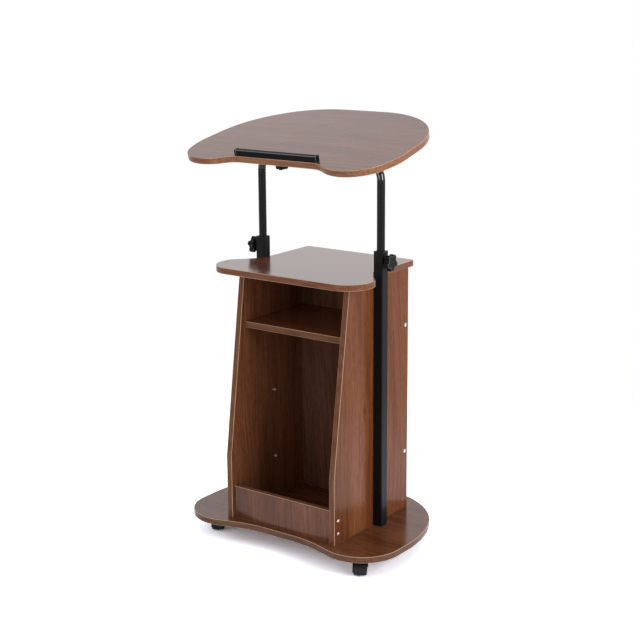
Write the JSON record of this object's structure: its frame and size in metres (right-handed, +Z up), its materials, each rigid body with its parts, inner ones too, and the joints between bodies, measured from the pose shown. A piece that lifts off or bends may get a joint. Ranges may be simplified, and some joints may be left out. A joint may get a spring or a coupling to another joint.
{
  "type": "standing desk",
  "caption": "Mobile standing desk: open cabinet on a kidney-shaped board with swivel casters, and a tilting kidney-shaped desktop on a height-adjustable inverted-U tube.",
  "frame": {"origin": "on the floor, under the centre of the bounding box", "axes": "+X to the right of the user standing in front, +Y to the back, +Z up"},
  "size_m": [0.587, 0.4116, 1.0275],
  "materials": {
    "walnut": "semi-gloss laminate",
    "black_tube": "gloss",
    "black_plastic": "satin",
    "black_steel": "satin",
    "steel": "zinc plated",
    "caster_plastic": "satin",
    "caster_wheel": "satin"
  },
  "bodies": {
    "base": {"base_board": "walnut", "left_side_panel": "walnut", "right_side_panel": "walnut", "back_panel": "walnut", "kick_board": "walnut", "shelf": "walnut", "cabinet_top": "walnut", "left_post": "black_tube", "right_post": "black_tube", "left_post_bush": "black_plastic", "right_post_bush": "black_plastic", "post_foot_plugs": "black_plastic", "post_foot_screws": "steel", "post_bolts": "steel", "left_clamp_nut": "black_steel", "right_clamp_nut": "black_steel", "panel_screws": "steel", "base_screws": "steel", "cam_discs": "steel", "cam_bolts": "steel", "shelf_pins": "steel", "caster_screws": "steel", "caster_front_left_plate": "steel", "caster_front_right_plate": "steel", "caster_back_left_plate": "steel", "caster_back_right_plate": "steel"},
    "lift": {"lift_frame": "black_tube", "slide_plugs": "black_plastic"},
    "desk": {"desktop_board": "walnut", "book_stop": "black_plastic", "book_stop_caps": "black_plastic", "book_stop_screws": "steel", "tilt_clamp": "black_plastic", "tilt_bearing": "black_plastic", "bracket_screws": "steel"},
    "left_clamp": {"left_clamp_knob": "black_plastic", "left_clamp_stud": "steel"},
    "right_clamp": {"right_clamp_knob": "black_plastic", "right_clamp_stud": "steel"},
    "tilt_lock": {"tilt_knob": "black_plastic", "tilt_stud": "steel"},
    "caster_front_left": {"caster_front_left_hood": "caster_plastic", "caster_front_left_axle": "steel"},
    "caster_front_left_left_wheel": {"caster_front_left_left_wheel": "caster_wheel"},
    "caster_front_left_right_wheel": {"caster_front_left_right_wheel": "caster_wheel"},
    "caster_front_right": {"caster_front_right_hood": "caster_plastic", "caster_front_right_axle": "steel"},
    "caster_front_right_left_wheel": {"caster_front_right_left_wheel": "caster_wheel"},
    "caster_front_right_right_wheel": {"caster_front_right_right_wheel": "caster_wheel"},
    "caster_back_left": {"caster_back_left_hood": "caster_plastic", "caster_back_left_axle": "steel"},
    "caster_back_left_left_wheel": {"caster_back_left_left_wheel": "caster_wheel"},
    "caster_back_left_right_wheel": {"caster_back_left_right_wheel": "caster_wheel"},
    "caster_back_right": {"caster_back_right_hood": "caster_plastic", "caster_back_right_axle": "steel"},
    "caster_back_right_left_wheel": {"caster_back_right_left_wheel": "caster_wheel"},
    "caster_back_right_right_wheel": {"caster_back_right_right_wheel": "caster_wheel"}
  },
  "joints": [
    {"name": "height_slide", "type": "slide", "parent": "base", "child": "lift", "axis": [0, 0, 1], "range_m": [-0.15, 0.18]},
    {"name": "desktop_tilt", "type": "hinge", "parent": "lift", "child": "desk", "pos_m": [0, 0.0015, 0.938], "axis": [1, 0, 0], "range_deg": [-12.5, 17.5]},
    {"name": "left_clamp_turn", "type": "hinge", "parent": "base", "child": "left_clamp", "pos_m": [-0.196, 0.0015, 0.7065], "axis": [-1, 0, 0], "range_deg": [0, 360]},
    {"name": "right_clamp_turn", "type": "hinge", "parent": "base", "child": "right_clamp", "pos_m": [0.196, 0.0015, 0.7065], "axis": [1, 0, 0], "range_deg": [0, 360]},
    {"name": "tilt_lock_turn", "type": "hinge", "parent": "desk", "child": "tilt_lock", "pos_m": [-0.116, 0.00756, 0.91066], "axis": [0, 0.2164, -0.9763], "range_deg": [0, 360]},
    {"name": "caster_front_left_swivel", "type": "hinge", "parent": "base", "child": "caster_front_left", "pos_m": [-0.2155, -0.1435, 0.04], "axis": [0, 0, 1], "continuous": true},
    {"name": "caster_front_left_left_roll", "type": "hinge", "parent": "caster_front_left", "child": "caster_front_left_left_wheel", "pos_m": [-0.2245, -0.13278, 0.018], "axis": [0.766, 0.6428, 0], "continuous": true},
    {"name": "caster_front_left_right_roll", "type": "hinge", "parent": "caster_front_left", "child": "caster_front_left_right_wheel", "pos_m": [-0.2245, -0.13278, 0.018], "axis": [0.766, 0.6428, 0], "continuous": true},
    {"name": "caster_front_right_swivel", "type": "hinge", "parent": "base", "child": "caster_front_right", "pos_m": [0.2155, -0.1435, 0.04], "axis": [0, 0, 1], "continuous": true},
    {"name": "caster_front_right_left_roll", "type": "hinge", "parent": "caster_front_right", "child": "caster_front_right_left_wheel", "pos_m": [0.2225, -0.15562, 0.018], "axis": [-0.866, -0.5, 0], "continuous": true},
    {"name": "caster_front_right_right_roll", "type": "hinge", "parent": "caster_front_right", "child": "caster_front_right_right_wheel", "pos_m": [0.2225, -0.15562, 0.018], "axis": [-0.866, -0.5, 0], "continuous": true},
    {"name": "caster_back_left_swivel", "type": "hinge", "parent": "base", "child": "caster_back_left", "pos_m": [-0.18, 0.12, 0.04], "axis": [0, 0, 1], "continuous": true},
    {"name": "caster_back_left_left_roll", "type": "hinge", "parent": "caster_back_left", "child": "caster_back_left_left_wheel", "pos_m": [-0.18823, 0.13133, 0.018], "axis": [0.809, 0.5878, 0], "continuous": true},
    {"name": "caster_back_left_right_roll", "type": "hinge", "parent": "caster_back_left", "child": "caster_back_left_right_wheel", "pos_m": [-0.18823, 0.13133, 0.018], "axis": [0.809, 0.5878, 0], "continuous": true},
    {"name": "caster_back_right_swivel", "type": "hinge", "parent": "base", "child": "caster_back_right", "pos_m": [0.18, 0.12, 0.04], "axis": [0, 0, 1], "continuous": true},
    {"name": "caster_back_right_left_roll", "type": "hinge", "parent": "caster_back_right", "child": "caster_back_right_left_wheel", "pos_m": [0.17177, 0.13133, 0.018], "axis": [0.809, 0.5878, 0], "continuous": true},
    {"name": "caster_back_right_right_roll", "type": "hinge", "parent": "caster_back_right", "child": "caster_back_right_right_wheel", "pos_m": [0.17177, 0.13133, 0.018], "axis": [0.809, 0.5878, 0], "continuous": true}
  ]
}
